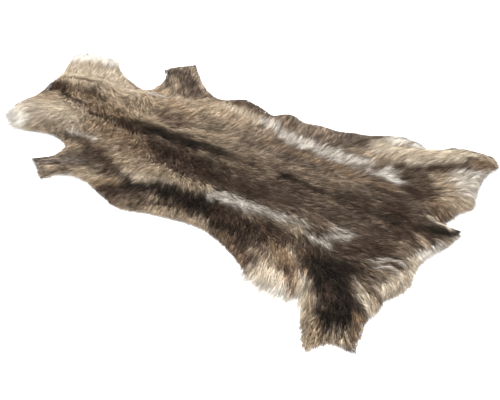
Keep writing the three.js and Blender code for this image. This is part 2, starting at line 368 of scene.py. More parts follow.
# Combing: which way the hair lies, how long it is and how far its tips stand off.
combing = [  # name, x, y, heading, length, lift
    ("right flap", -500, 225, 108, 48, 0),
    ("right flap front", -590, 210, 116, 52, 0),
    ("right flap corner", -610, 238, 118, 54, 0),
    ("right flap root", -490, 134, 110, 34, 2),
    ("right flap front root", -566, 112, 112, 34, 1),
    ("roll, near side", -480, 84, -46, 30, 3),
    ("roll, near side front", -530, 66, -60, 26, 2),
    ("roll, near side rear", -368, 84, -35, 28, 3),
    ("roll end", -290, 118, -50, 26, 2),
    ("left flap", -510, -55, -132, 50, 0),
    ("left flap root", -470, -10, -135, 36, 0),
    ("left flap tip", -520, -110, -138, 54, 0),
    ("left flap rear", -435, -100, -122, 34, 0),
    ("neck front", -520, 40, -160, 26, 0),
    ("neck middle", -370, 20, -25, 26, 0),
    ("neck lower", -380, -30, -95, 26, 0),
    ("neck left", -335, -50, -75, 24, 0),
    ("neck crease", -440, 60, -8, 22, 0),
    ("neck right", -330, 120, 20, 24, 0),
    ("right bay", -380, 175, 100, 20, 0),
    ("left shoulder front", -240, -95, -94, 22, 0),
    ("left shoulder", -160, -100, -93, 28, 0),
    ("left light band", -60, -115, -92, 28, 0),
    ("left chest edge", -65, -235, -101, 28, 0),
    ("left elbow", -160, -205, -128, 22, 0),
    ("left foreleg", -290, -210, -138, 18, 0),
    ("left foreleg root", -230, -150, -125, 20, 0),
    ("left black stripe", 50, -160, -66, 26, 2),
    ("left belly", 110, -200, -78, 30, 0),
    ("left stripe", 130, -95, -14, 28, 0),
    ("left stripe rear", 280, -95, -10, 28, 0),
    ("left mid belly", 210, -180, -72, 30, 0),
    ("left lower flank", 280, -235, -87, 36, 0),
    ("left groin front", 335, -270, -103, 56, 2),
    ("left groin", 378, -285, -96, 58, 3),
    ("left groin rear", 412, -285, -60, 50, 2),
    ("left groin top", 345, -200, -58, 34, 3),
    ("left groin right", 402, -220, -86, 34, 4),
    ("black haunch", 470, -195, -48, 28, 2),
    ("left hind leg", 520, -290, -64, 22, 0),
    ("left hind leg tip", 530, -350, -70, 20, 0),
    ("left hind leg front", 466, -315, -98, 26, 0),
    ("left hind leg rear", 576, -318, -52, 22, 0),
    ("curls", 520, -200, -10, 32, 6),
    ("curls lower", 560, -235, -32, 32, 6),
    ("left rump", 535, -105, 24, 34, 3),
    ("left rump rear", 585, -108, -36, 36, 2),
    ("left rump low", 572, -170, -58, 38, 2),
    ("left rump edge", 600, -150, -66, 36, 0),
    ("rump middle", 400, 20, 6, 27, 0),
    ("rump low", 470, -80, 4, 28, 0),
    ("rump high", 430, 120, 16, 27, 0),
    ("right haunch front", 565, 285, 66, 34, 0),
    ("right haunch", 590, 215, 28, 38, 0),
    ("right haunch rear", 585, 140, -18, 38, 0),
    ("right haunch root", 505, 180, 20, 28, 0),
    ("right groin", 395, 290, 70, 48, 2),
    ("right groin rear", 480, 315, 62, 50, 2),
    ("right groin edge", 440, 345, 72, 52, 0),
    ("right flank edge", 205, 245, 100, 24, 0),
    ("right stripe", 100, 215, 92, 27, 0),
    ("right stripe rear", 330, 195, 58, 27, 0),
    ("right flank front", -40, 240, 92, 22, 0),
    ("right shoulder", -150, 190, 72, 25, 0),
    ("right shoulder low", -180, 110, 35, 25, 0),
    ("right back", 100, 110, 62, 27, 0),
    ("right back rear", 260, 130, 42, 27, 0),
    ("spine, chest", 100, 40, 4, 26, 0),
    ("spine, loin", 255, 35, 4, 27, 0),
    ("dorsal line", -120, 40, 4, 26, 3),
    ("left back", 60, -30, -22, 27, 0),
    ("left back front", -70, -45, -40, 26, 0),
    ("left back rear", 250, -30, -6, 27, 0),
    ("tail", 608, 58, 26, 48, 2),
    ("tail tip", 624, 74, 46, 40, 1),
    ("notch beside the tail", 586, 104, -44, 24, 0),
    ("tail left", 604, 15, -4, 44, 1),
    ("left of the tail", 570, -15, -34, 34, 0),
    ("right hind leg", 465, 245, 38, 18, 0),
    ("right hind leg tip", 560, 325, 44, 16, 0),
    ("right hind leg heel", 608, 340, 8, 22, 0),
    ("right foreleg", -270, 285, 122, 18, 0),
    ("right foreleg root", -210, 215, 112, 20, 0),
]
combNear = 26  # how sharply a row rules around its own place


def comb(x, y):
    # Heading, length and lift at (x, y): the rows' values, each weighted by one over the square of
    # its squared distance, which is eased by combNear.
    total = np.zeros((4,) + np.shape(x))
    weight = np.zeros(np.shape(x))
    for name, cx, cy, heading, length, lift in combing:
        near = 1 / ((x - cx) ** 2 + (y - cy) ** 2 + combNear ** 2) ** 2
        turn = np.radians(heading)
        total += near * np.array([np.cos(turn), np.sin(turn), length, lift]).reshape(
            (4,) + (1,) * np.ndim(x))
        weight += near
    return np.arctan2(total[1], total[0]), total[2] / weight, total[3] / weight


flow = {"turn": 9, "size": 60}  # slow swings of the whole coat, degrees and millimetres
parting = {"from": 0.01, "gain": 30}  # by how much the hair's lie spreads apart per millimetre
headings, lengths, lifts = comb(*ground.grid)
headings += np.radians(flow["turn"]) * (2 * waves(*ground.grid, flow["size"], 6) - 1)
ground.lie = np.stack([np.cos(headings), np.sin(headings)], axis=2)
ground.length = blur(lengths, 2)
ground.lift = blur(lifts, 2)
slopes = [np.gradient(ground.lie[..., k], relief["step"], axis=1 - k) for k in (0, 1)]
ground.parting = np.clip(parting["gain"] * (blur(sum(slopes), 2) - parting["from"]), 0, 1)
print("hair combed")

# The coat's colours and marks.
coatColours = {
    "white": (0.81, 0.75, 0.665),
    "ivory": (0.645, 0.583, 0.505),
    "cream": (0.645, 0.54, 0.405),
    "sand": (0.40, 0.303, 0.202),
    "fawn": (0.26, 0.169, 0.098),
    "taupe": (0.202, 0.147, 0.100),
    "ash": (0.131, 0.098, 0.071),
    "slate": (0.150, 0.118, 0.096),
    "umber": (0.076, 0.049, 0.033),
    "bark": (0.042, 0.0245, 0.0155),
    "soot": (0.0175, 0.012, 0.0078),
}
coatBase = "ash"
coatMarks = [  # name, colour, half width, strength, path
    ("back", "umber", 95, 0.7, [(-58, -4), (128, -22), (284, -12), (408, -6), (506, 16)]),
    ("neck", "sand", 60, 0.9, [(-470, 12), (-404, 56), (-316, 78)]),
    ("neck ground", "sand", 120, 1, [(-526, 76), (-428, 86), (-334, 100), (-246, 116)]),
    ("left flap", "cream", 62, 0.72, [(-528, -116), (-462, -70), (-402, -20)]),
    ("left flap root", "sand", 26, 0.55, [(-400, 6), (-346, -30), (-332, -60)]),
    ("left flap root light", "cream", 14, 0.6, [(-436, -66), (-388, -58), (-346, -52)]),
    ("left flap tips", "white", 20, 0.8, [(-548, -112), (-488, -124)]),
    ("left flap tan hair", "fawn", 4, 0.5, [(-504, -108), (-472, -74)]),
    ("left flap shade", "sand", 14, 0.6, [(-456, -114), (-408, -98), (-370, -86)]),
    ("right flap", "cream", 56, 0.7, [(-588, 172), (-514, 204), (-444, 208)]),
    ("right flap tips", "white", 34, 1, [(-606, 224), (-556, 252), (-496, 266)]),
    ("roll top", "cream", 24, 0.5, [(-552, 116), (-462, 112), (-384, 114)]),
    ("right flap front", "sand", 14, 0.5, [(-598, 138), (-500, 90), (-458, 98)]),
    ("roll top rear", "cream", 20, 0.5, [(-440, 162), (-344, 134), (-274, 120)]),
    ("right bay side", "cream", 16, 0.6, [(-396, 180), (-306, 152), (-240, 154), (-176, 178)]),
    ("right shoulder", "sand", 42, 1, [(-248, 122), (-174, 154), (-92, 196), (-12, 218)]),
    ("right shoulder fawn", "sand", 34, 0.45, [(-112, 138), (-32, 160), (72, 166)]),
    ("right shoulder tan", "fawn", 12, 0.55, [(-246, 186), (-182, 146), (-122, 126)]),
    ("right shoulder edge", "sand", 16, 0.7, [(-136, 228), (-90, 244), (-36, 242)]),
    ("right shoulder brown", "umber", 24, 0.8, [(-194, 110), (-154, 94), (-110, 82)]),
    ("right bay fleck", "ivory", 7, 0.9, [(-282, 164), (-234, 166)]),
    ("roll gold", "sand", 20, 0.8, [(-322, 70), (-284, 80), (-252, 108)]),
    ("neck tan", "fawn", 20, 0.4, [(-310, -26), (-272, -24), (-218, -26)]),
    ("neck fawn", "fawn", 18, 0.9, [(-392, 36), (-336, 36), (-278, 48)]),
    ("neck brown", "umber", 8, 0.6, [(-396, 32), (-340, 40), (-288, 52)]),
    # The crease fringe rows and the crease line are painted shade in the crease under the neck roll.
    ("crease fringe front", "umber", 17, 1, [(-574, 58), (-534, 58), (-498, 68)]),
    ("crease fringe dark", "bark", 9, 0.9, [(-544, 32), (-516, 52), (-476, 58)]),
    ("crease fringe", "umber", 9, 0.8, [(-496, 74), (-458, 80), (-406, 78)]),
    ("crease fringe rear", "bark", 5, 0.8, [(-396, 76), (-368, 68), (-348, 64)]),
    ("crease strip", "fawn", 8, 0.8, [(-482, 56), (-434, 60), (-394, 64)]),
    ("crease line", "bark", 7, 0.85, [(-508, 46), (-450, 38), (-402, 40)]),
    ("crease tuft", "umber", 5, 0.7, [(-380, 68), (-350, 66)]),
    ("neck dark line", "bark", 11, 0.9, [(-356, 12), (-314, 10), (-264, 22)]),
    ("left neck edge", "taupe", 12, 0.9, [(-408, -114), (-370, -112), (-332, -116)]),
    ("left shoulder", "fawn", 46, 0.6, [(-286, -58), (-222, -44), (-142, -48)]),
    ("left shoulder front", "sand", 15, 0.7, [(-338, -62), (-284, -56), (-222, -66)]),
    ("left shoulder rear", "umber", 27, 0.85, [(-66, -64), (-28, -62), (18, -60)]),
    ("left shoulder dark patch", "umber", 12, 0.85, [(-60, -94), (-20, -88)]),
    ("left shoulder sand", "sand", 36, 0.95, [(-178, -110), (-116, -118), (-44, -124)]),
    ("left shoulder streak", "umber", 4, 0.6, [(-194, -100), (-190, -128), (-186, -152)]),
    ("left shoulder streak rear", "taupe", 4, 0.7, [(-154, -96), (-148, -128), (-146, -156)]),
    ("left light band", "sand", 22, 0.75, [(-52, -128), (8, -124), (58, -122)]),
    ("left light band low", "cream", 9, 0.8, [(-146, -148), (-96, -156), (-40, -146), (12, -138)]),
    ("left light spot", "cream", 9, 0.5, [(-128, -164), (-94, -176)]),
    ("left fleck", "ivory", 8, 0.85, [(-348, -82), (-312, -78), (-266, -78)]),
    ("under the fleck", "umber", 12, 0.8, [(-340, -98), (-298, -106), (-256, -118)]),
    ("left shoulder dark", "umber", 15, 0.95, [(-262, -112), (-226, -114), (-188, -136), (-140, -154)]),
    ("left shoulder dark low", "bark", 11, 0.9, [(-160, -154), (-118, -166), (-82, -168)]),
    ("left foreleg", "slate", 30, 0.8, [(-322, -230), (-276, -202), (-246, -158)]),
    ("left foreleg dark", "umber", 14, 0.8, [(-266, -144), (-226, -152), (-192, -152)]),
    ("left foreleg end", "umber", 7, 0.6, [(-338, -220), (-314, -198), (-288, -176)]),
    ("left foreleg pale", "sand", 10, 0.7, [(-310, -188), (-304, -158), (-306, -128)]),
    ("left foreleg shade", "slate", 12, 0.5, [(-288, -182), (-242, -190)]),
    ("left foreleg root", "sand", 10, 0.6, [(-328, -126), (-292, -128)]),
    ("left bay edge", "sand", 9, 0.7, [(-346, -116), (-310, -138), (-302, -168)]),
    ("left bay light", "sand", 12, 0.6, [(-320, -114), (-280, -126), (-272, -150)]),
    ("left foreleg streak", "sand", 7, 0.95, [(-302, -230), (-266, -212), (-216, -198)]),
    ("left foreleg low", "umber", 5, 0.5, [(-252, -220), (-196, -198)]),
    ("left foreleg low end", "taupe", 12, 0.9, [(-276, -250), (-252, -228)]),
    ("left elbow", "sand", 20, 1, [(-216, -214), (-170, -202), (-130, -198)]),
    ("left elbow light", "cream", 8, 0.5, [(-200, -208), (-172, -198), (-138, -194)]),
    ("left elbow tan", "fawn", 9, 0.8, [(-148, -198), (-122, -194), (-96, -188)]),
    ("left elbow low", "fawn", 10, 0.85, [(-178, -216), (-144, -218), (-114, -216)]),
    ("chest edge", "umber", 24, 0.9, [(-98, -236), (-56, -228), (-12, -218)]),
    ("chest edge rear", "taupe", 20, 0.85, [(-48, -238), (-10, -222), (32, -202), (74, -192)]),
    ("chest edge dark", "bark", 12, 0.5, [(-76, -196), (-40, -196), (-4, -192)]),
    ("chest pale", "sand", 8, 0.45, [(-12, -196), (38, -182)]),
    ("left chest fringe", "sand", 4, 0.6, [(-68, -252), (-22, -242), (22, -226)]),
    ("belly tan", "sand", 14, 0.8, [(14, -224), (66, -212), (114, -202)]),
    ("belly tan rear", "sand", 12, 0.8, [(118, -208), (152, -210), (182, -216)]),
    ("belly edge", "sand", 10, 0.8, [(156, -208), (178, -212), (200, -220)]),
    ("black stripe front", "bark", 11, 0.95, [(-128, -228), (-108, -210), (-78, -188)]),
    ("black stripe", "soot", 14, 1, [(-82, -192), (-50, -170), (-18, -160), (20, -158)]),
    ("black stripe middle", "soot", 23, 1, [(20, -158), (78, -160), (120, -156), (162, -154)]),
    ("black stripe top", "soot", 8, 0.9, [(88, -142), (118, -138)]),
    ("black stripe rear", "soot", 27, 0.85, [(154, -160), (188, -162), (222, -166)]),
    ("black flank", "bark", 30, 0.8, [(168, -156), (220, -154), (268, -150), (300, -144)]),
    ("black flank end", "bark", 18, 0.65, [(224, -168), (266, -162), (294, -152)]),
    ("left flank", "umber", 32, 0.95, [(196, -198), (246, -216), (288, -236)]),
    ("left flank fawn", "fawn", 9, 0.5, [(206, -212), (246, -234), (284, -254)]),
    ("belly dark", "bark", 14, 0.85, [(174, -178), (212, -182), (248, -192)]),
    ("belly stripe shade", "soot", 11, 0.75, [(180, -186), (214, -192)]),
    ("belly dark front", "bark", 9, 0.75, [(22, -196), (64, -186), (114, -186)]),
    ("left groin edge dark", "umber", 8, 0.7, [(230, -232), (262, -250)]),
    ("flank, groin", "umber", 24, 0.8, [(284, -176), (332, -154), (382, -160)]),
    ("haunch brown", "bark", 22, 0.6, [(396, -158), (432, -148), (468, -128)]),
    ("haunch brown front", "fawn", 9, 0.5, [(378, -170), (404, -182)]),
    ("left stripe start", "sand", 10, 0.85, [(36, -106), (78, -110), (118, -114)]),
    ("left stripe", "ivory", 12, 0.95, [(118, -120), (156, -114), (198, -110), (232, -108)]),
    ("left stripe rear", "ivory", 10, 0.7, [(232, -108), (268, -108), (302, -106)]),
    ("left stripe patch", "ivory", 14, 0.7, [(290, -110), (318, -108), (344, -102)]),
    ("left stripe low", "sand", 10, 0.7, [(290, -120), (320, -120), (342, -118)]),
    ("grey under the stripe", "sand", 7, 0.6, [(214, -130), (256, -132)]),
    ("left stripe grey", "taupe", 18, 0.7, [(330, -86), (368, -82), (398, -74)]),
    ("left spot", "ivory", 8, 0.95, [(370, -120), (392, -116)]),
    ("left spot tail", "ivory", 6, 0.8, [(392, -118), (418, -126), (436, -132)]),
    ("left spot rear", "ivory", 10, 0.75, [(404, -106), (424, -88), (440, -68)]),
    ("left spot top", "ivory", 5, 0.6, [(398, -84), (420, -60)]),
    ("back pale hair", "taupe", 9, 0.7, [(306, 14), (338, 22), (366, 18)]),
    ("shoulder spot", "bark", 20, 0.95, [(-124, -22), (-78, -26)]),
    ("shoulder dark", "bark", 20, 0.85, [(-74, -32), (-28, -30), (14, -22)]),
    ("back dark", "bark", 26, 0.9, [(30, -46), (82, -54), (144, -62), (194, -56)]),
    ("back dark top", "umber", 14, 0.6, [(36, 14), (80, 8), (122, 6)]),
    ("back dark rear", "bark", 13, 0.8, [(190, -50), (244, -60), (280, -42)]),
    ("back parting", "soot", 5, 0.8, [(204, 40), (232, 40), (272, 38), (306, 34)]),
    ("back shade", "bark", 10, 0.6, [(344, 40), (390, 36)]),
    ("back grey", "sand", 30, 0.45, [(-36, 74), (44, 72), (128, 74)]),
    ("back grey middle", "sand", 10, 0.4, [(-12, 16), (52, 14), (120, 16), (180, 28)]),
    ("back grey rear", "taupe", 22, 0.8, [(150, 68), (212, 74), (284, 82), (352, 92)]),
    ("back grey streak", "sand", 7, 0.5, [(250, 48), (294, 52), (334, 48)]),
    ("back fawn", "fawn", 14, 0.55, [(88, 142), (168, 142), (252, 140), (330, 136)]),
    ("back fawn rear", "fawn", 14, 0.45, [(342, 124), (396, 128), (446, 130)]),
    ("loin dark", "umber", 14, 0.7, [(418, 100), (454, 108), (490, 118)]),
    ("loin dark low", "bark", 10, 0.6, [(424, 50), (466, 62)]),
    ("loin dark rear", "bark", 9, 0.6, [(388, 112), (438, 114), (480, 118)]),
    ("sand under the ridge", "sand", 14, 0.75, [(-116, 72), (-52, 92), (26, 116)]),
    ("dorsal brown", "bark", 24, 0.95, [(-256, 22), (-220, 34), (-186, 40), (-148, 40)]),
    ("dorsal brown low", "bark", 11, 0.85, [(-252, 8), (-206, 8), (-166, 14)]),
    ("dorsal brown end", "bark", 8, 0.8, [(-162, -6), (-124, -6)]),
    ("dorsal line", "soot", 15, 1, [(-186, 28), (-140, 30), (-96, 30), (-46, 36)]),
    ("dorsal line rear", "soot", 15, 0.9, [(-50, 34), (-12, 48), (36, 40)]),
    ("ridge hair", "sand", 6, 0.9, [(-270, 74), (-222, 78), (-182, 76), (-140, 62)]),
    # The right edge rows are partly the coat's brown and partly painted shade where the far edge slopes
    # away from the light.
    ("right edge", "umber", 22, 0.85, [(-58, 264), (-6, 264), (30, 252), (90, 236)]),
    ("right edge corner", "umber", 9, 0.85, [(-62, 270), (-22, 268)]),
    ("right edge low", "umber", 8, 0.8, [(46, 240), (74, 230)]),
    ("right edge shade", "umber", 6, 0.55, [(-22, 248), (30, 234), (80, 222)]),
    ("right edge rear", "taupe", 26, 0.9, [(80, 230), (118, 258), (172, 246), (234, 246)]),
    ("right edge fawn", "umber", 14, 0.6, [(238, 252), (272, 260), (312, 270)]),
    ("right edge shade rear", "umber", 6, 0.4, [(124, 216), (198, 198), (262, 194), (310, 196)]),
    ("right stripe start", "cream", 13, 0.75, [(-84, 228), (-30, 230), (40, 216)]),
    ("right stripe", "ivory", 12, 0.95, [(50, 220), (96, 206), (148, 186), (190, 180)]),
    ("right stripe middle", "ivory", 15, 0.95, [(190, 184), (236, 180), (286, 178)]),
    ("right stripe rear", "ivory", 15, 0.85, [(288, 176), (326, 178), (358, 180)]),
    ("right stripe end", "taupe", 10, 0.7, [(348, 170), (380, 182), (402, 202)]),
    ("right patch", "ivory", 9, 0.9, [(382, 168), (410, 172)]),
    ("right patch rear", "white", 12, 0.95, [(406, 184), (432, 170), (456, 162)]),
    ("right patch top", "ivory", 8, 0.8, [(404, 200), (434, 202)]),
    ("right groin", "cream", 42, 0.9, [(368, 278), (402, 256), (440, 262), (496, 288)]),
    ("right groin tips", "white", 18, 0.85, [(358, 322), (410, 328), (470, 332)]),
    ("right groin tan", "sand", 13, 0.7, [(312, 222), (368, 218), (420, 228)]),
    ("right groin tan hair", "fawn", 4, 0.7, [(394, 278), (396, 312), (404, 342)]),
    ("right groin tan hair low", "fawn", 4, 0.6, [(454, 256), (452, 290), (450, 334)]),
    ("right hind leg ground", "cream", 26, 0.9, [(490, 276), (538, 308), (588, 342)]),
    ("right haunch", "sand", 46, 0.95, [(544, 234), (586, 216), (612, 174)]),
    ("right haunch pale", "ivory", 30, 0.82, [(566, 258), (594, 232), (614, 182)]),
    ("right haunch rim", "ivory", 10, 0.7, [(584, 290), (606, 260), (616, 214)]),
    ("right haunch low", "fawn", 22, 0.55, [(544, 140), (576, 108)]),
    ("right haunch rear", "sand", 22, 0.9, [(578, 158), (608, 170)]),
    ("right hind leg", "umber", 12, 0.9, [(422, 214), (470, 232), (518, 264), (552, 290), (584, 322)]),
    # Right hind leg top and under are a painted shadow line along the leg's rolled edge, and right hind
    # leg roll is painted light on the roll's top.
    ("right hind leg top", "bark", 4, 0.85,
     [(372, 210), (398, 212), (426, 216), (470, 232), (506, 256), (538, 286)]),
    ("right hind leg under", "bark", 4, 0.6, [(538, 286), (562, 312), (582, 340)]),
    ("right hind leg roll", "taupe", 6, 0.6, [(524, 322), (538, 354), (556, 380)]),
    ("right hind leg tip", "sand", 15, 0.8, [(588, 342), (610, 372)]),
    ("right hind leg tip low", "fawn", 11, 0.95, [(582, 314), (612, 350)]),
    ("right hind leg tip shade", "umber", 4, 0.6, [(596, 320), (618, 354)]),
    ("right haunch corner", "ivory", 10, 0.85, [(598, 286), (606, 306)]),
    ("right haunch root", "umber", 25, 0.95, [(460, 200), (494, 198), (516, 162)]),
    ("right haunch dark", "bark", 13, 0.95, [(466, 154), (490, 148), (516, 132)]),
    ("rump dark", "bark", 24, 0.9, [(480, 74), (510, 44), (548, 12)]),
    ("rump black", "soot", 10, 0.85, [(476, 32), (512, 16), (542, 2)]),
    ("rump brown", "umber", 32, 0.95, [(456, -124), (486, -92), (518, -58), (536, -16)]),
    ("rump brown dark", "bark", 14, 0.6, [(466, -114), (492, -90), (512, -66)]),
    ("tail", "soot", 12, 1, [(564, 36), (592, 42), (620, 56), (638, 80)]),
    ("tail low", "umber", 7, 0.55, [(592, 24), (612, 26), (622, 34)]),
    ("tail hair dark", "bark", 5, 0.9, [(570, 28), (586, 14), (600, -2)]),
    ("tail fringe", "cream", 6, 0.95, [(626, 24), (634, 48), (642, 72)]),
    ("tail fringe tips", "white", 13, 0.85, [(590, -56), (606, -28), (620, 4)]),
    ("tail top", "cream", 5, 0.95, [(558, 76), (588, 68), (616, 66)]),
    ("left of the tail", "sand", 8, 0.7, [(566, 8), (588, -12)]),
    ("left rump grey", "taupe", 14, 0.8, [(548, -40), (570, -58), (582, -70)]),
    ("left rump arc", "taupe", 22, 0.9, [(526, -144), (546, -124), (576, -126)]),
    ("left rump pale", "ivory", 4, 0.8, [(516, -118), (538, -94), (568, -90), (598, -110)]),
    ("left rump pale, second", "ivory", 3.5, 0.75, [(528, -138), (550, -114), (578, -120), (600, -140)]),
    ("left rump pale, third", "sand", 3.5, 0.7, [(538, -160), (548, -142), (564, -136), (586, -154)]),
    ("left rump dark, first", "bark", 4, 0.85, [(494, -162), (504, -114), (534, -82), (568, -80)]),
    ("left rump dark, second", "bark", 3.5, 0.85, [(512, -162), (526, -124), (548, -102), (576, -106)]),
    ("left rump dark, third", "bark", 3.5, 0.8, [(526, -172), (536, -138), (558, -124), (580, -136)]),
    ("left rump inner", "umber", 6, 0.4, [(528, -166), (544, -144), (570, -152)]),
    ("left rump front", "bark", 9, 0.75, [(492, -146), (514, -156), (532, -178)]),
    ("left rump shade", "umber", 7, 0.5, [(530, -198), (540, -162), (560, -160), (580, -170)]),
    ("left rump cream", "cream", 20, 0.65, [(578, -178), (584, -154), (594, -130)]),
    ("left rump edge", "cream", 12, 0.7, [(588, -52), (596, -74), (602, -104)]),
    ("haunch black", "soot", 34, 1, [(420, -194), (458, -196), (484, -186)]),
    ("haunch black front", "bark", 9, 0.9, [(414, -198), (434, -224)]),
    ("haunch dark", "bark", 26, 0.95, [(472, -246), (504, -242)]),
    ("haunch dark rear", "soot", 18, 0.95, [(496, -226), (520, -254)]),
    ("haunch black low", "soot", 33, 1, [(502, -302), (526, -294), (540, -282)]),
    ("haunch black low rear", "soot", 8, 0.8, [(530, -252), (544, -262), (554, -278)]),
    ("haunch flecks", "taupe", 4, 0.6, [(486, -288), (502, -286)]),
    ("left leg grey", "sand", 14, 0.5, [(526, -354), (544, -348), (560, -340)]),
    ("left leg front", "sand", 17, 0.85, [(448, -286), (474, -322), (498, -352), (516, -378)]),
    ("left leg inner", "fawn", 12, 0.6, [(502, -336), (518, -356)]),
    ("left leg rear", "fawn", 12, 0.9, [(566, -278), (576, -298), (584, -324)]),
    ("left leg rear edge", "umber", 7, 0.5, [(572, -300), (582, -326)]),
    ("curls", "sand", 13, 0.7, [(538, -196), (552, -210), (568, -224), (578, -238)]),
    ("curls dark", "bark", 4, 0.85, [(502, -172), (526, -192), (548, -212)]),
    ("curls dark rear", "umber", 3.5, 0.8, [(524, -178), (550, -196), (570, -214)]),
    ("curls pale", "cream", 4, 0.7, [(526, -208), (544, -224), (564, -234)]),
    ("curl ends", "cream", 12, 0.9, [(548, -226), (564, -236), (576, -248)]),
    ("left groin", "cream", 32, 1, [(344, -272), (370, -276), (406, -274)]),
    ("left groin tips", "white", 20, 0.85, [(338, -306), (382, -304), (424, -296)]),
    ("left groin top", "fawn", 16, 0.7, [(316, -186), (344, -198), (370, -212)]),
    ("left groin lock", "sand", 8, 0.85, [(340, -178), (362, -194), (386, -212)]),
    ("left groin pale hair", "sand", 13, 0.8, [(290, -222), (324, -232), (352, -230)]),
    ("left groin rear", "cream", 6, 0.8, [(430, -260), (444, -278), (452, -302), (464, -330)]),
    ("left groin rear edge", "fawn", 5, 0.6, [(390, -202), (406, -216), (424, -234)]),
    ("haunch black left", "soot", 9, 0.95, [(428, -210), (446, -232), (466, -254)]),
    ("left groin tan", "fawn", 7, 1, [(328, -178), (352, -200), (374, -224)]),
    ("left groin tan front", "fawn", 4, 0.8, [(346, -244), (366, -238), (382, -232)]),
    ("left groin tan low", "fawn", 15, 1, [(362, -216), (392, -246), (416, -280)]),
    ("left groin tan line", "umber", 8, 0.85, [(372, -232), (394, -252), (414, -276)]),
    ("left groin knot", "umber", 4, 0.85, [(368, -226), (384, -238)]),
    ("right foreleg", "umber", 40, 0.75, [(-318, 308), (-254, 260), (-198, 240)]),
    ("right foreleg dark", "bark", 12, 0.5, [(-306, 322), (-262, 310), (-218, 266)]),
    ("right foreleg end", "taupe", 8, 0.7, [(-338, 314), (-302, 334)]),
    ("right foreleg front", "umber", 8, 0.6, [(-326, 294), (-270, 230)]),
    ("right foreleg streak", "sand", 6, 0.6, [(-302, 288), (-244, 234)]),
    ("right foreleg edge", "sand", 6, 0.8, [(-284, 362), (-230, 312), (-162, 254)]),
]
markFray = [(24, 6, 0), (8, 4, 1)]  # how ragged the marks' borders are: size, shift, wave layer
markPatch = {"size": 13, "share": 0.3, "layer": 5}
paleFrom = 0.2  # a coat colour with more red than this is a pale one
paleRange = 0.35
# root, middle and tip darken each needle towards its root: painted shade deep in the coat. parted lifts
# that painted shade where the coat parts. bleach greys the lighter hairs as a painted whitish highlight
tintAndShade = {"root": 0.4, "parted": 1.2, "middle": 0.84, "tip": 1.1, "paintedHighlightGrey": 0.1,
        "strand": 0.16, "mottleSize": 26, "frost": 0.65, "frosted": (0.86, 0.83, 0.78),
        "darkest": 0.004, "lightest": 0.9}


def paintCoat(x, y):
    # The base colour, then each mark over it: full inside half its width, gone past one and a half.
    # A pale mark lets some of what is under it through in patches.
    x = x + sum(shift * (2 * waves(x, y, size, layer) - 1) for size, shift, layer in markFray)
    y = y + sum(shift * (2 * waves(x, y, size, layer + 2) - 1) for size, shift, layer in markFray)
    thin = 1 - markPatch["share"] * waves(x, y, markPatch["size"], markPatch["layer"])
    colour = np.ones(np.shape(x) + (3,)) * coatColours[coatBase]
    for name, shade, halfWidth, strength, path in coatMarks:
        t = np.clip((1.5 * halfWidth - distanceToPath(x, y, path)) / halfWidth, 0, 1)
        patchy = thin if coatColours[shade][0] > paleFrom else 1
        cover = (strength * smooth(t) * patchy)[..., None]
        colour = colour * (1 - cover) + np.array(coatColours[shade]) * cover
    return colour


ground.coat = paintCoat(*ground.grid)
print("coat painted")

# The skin: one laid sheet, walked in from the outline as far as the hair reaches past it.
skin = {"thickness": 2.0, "edgeStep": 8.0, "gridStep": 12.0, "walks": 60, "inwards": 1.5, "outwards": 1.0,
        "pace": 0.8, "ease": 0.1, "leastSlope": 0.3, "shortestSide": 2.0}


def skinEdge():
    # The hide's outline, walked inwards down the distance field until the hair's reach is covered,
    # and eased towards its neighbours after each walk.
    loop = np.concatenate([ground.outline, ground.outline[:1]])
    gone = np.concatenate([[0], np.cumsum(np.hypot(*np.diff(loop, axis=0).T))])
    at = np.linspace(0, gone[-1], int(gone[-1] / skin["edgeStep"]), endpoint=False)
    points = np.stack([np.interp(at, gone, loop[:, 0]), np.interp(at, gone, loop[:, 1])], axis=1)
    down, right = np.gradient(blur(ground.inset, 1), relief["step"])
    for _ in range(skin["walks"]):
        short = np.clip(-ground.read(ground.inset, *points.T), -skin["outwards"], skin["inwards"])
        way = np.stack([ground.read(right, *points.T), ground.read(down, *points.T)], axis=1)
        way /= np.maximum(np.linalg.norm(way, axis=1, keepdims=True), skin["leastSlope"])
        points = points + way * short[:, None] * skin["pace"]
        neighbours = np.roll(points, 1, axis=0) + np.roll(points, -1, axis=0)
        points = (1 - 2 * skin["ease"]) * points + skin["ease"] * neighbours
    keep = np.hypot(*(points - np.roll(points, 1, axis=0)).T) > skin["shortestSide"]
    return points[keep]


def hexGrid(step, margin):
    # Staggered rows of points over the hide, where they are further in than the margin.
    low, high = ground.outline.min(axis=0), ground.outline.max(axis=0)
    rows = np.arange(low[1], high[1], step * np.sqrt(3) / 2)
    columns = np.arange(low[0], high[0], step)
    x = (columns[None, :] + (np.arange(len(rows)) % 2)[:, None] * step / 2).ravel()
    y = np.repeat(rows, len(columns))
    inside = ground.read(ground.inset, x, y) > margin
    return np.stack([x[inside], y[inside]], axis=1)


def fillMesh(name, places, faces, materials, coat=None):
    # One smooth mesh from arrays: places in millimetres, and faces of one corner count.
    mesh = bpy.data.meshes.new(name)
    mesh.vertices.add(len(places))
    mesh.vertices.foreach_set("co", (places * mm).astype(np.float32).ravel())
    mesh.loops.add(faces.size)
    mesh.loops.foreach_set("vertex_index", faces.astype(np.int32).ravel())
    mesh.polygons.add(len(faces))
    mesh.polygons.foreach_set("loop_start", np.arange(0, faces.size, faces.shape[1], dtype=np.int32))
    mesh.polygons.foreach_set("use_smooth", np.ones(len(faces), bool))
    mesh.update(calc_edges=True)
    for material in materials:
        mesh.materials.append(material)
    if coat is not None:
        colours = np.concatenate([coat, np.ones((len(coat), 1))], axis=1)
        layer = mesh.attributes.new("coat", "FLOAT_COLOR", "POINT")
        layer.data.foreach_set("color", colours.astype(np.float32).ravel())
    mesh.validate()
    piece = bpy.data.objects.new(name, mesh)
    bpy.context.scene.collection.objects.link(piece)
    return piece


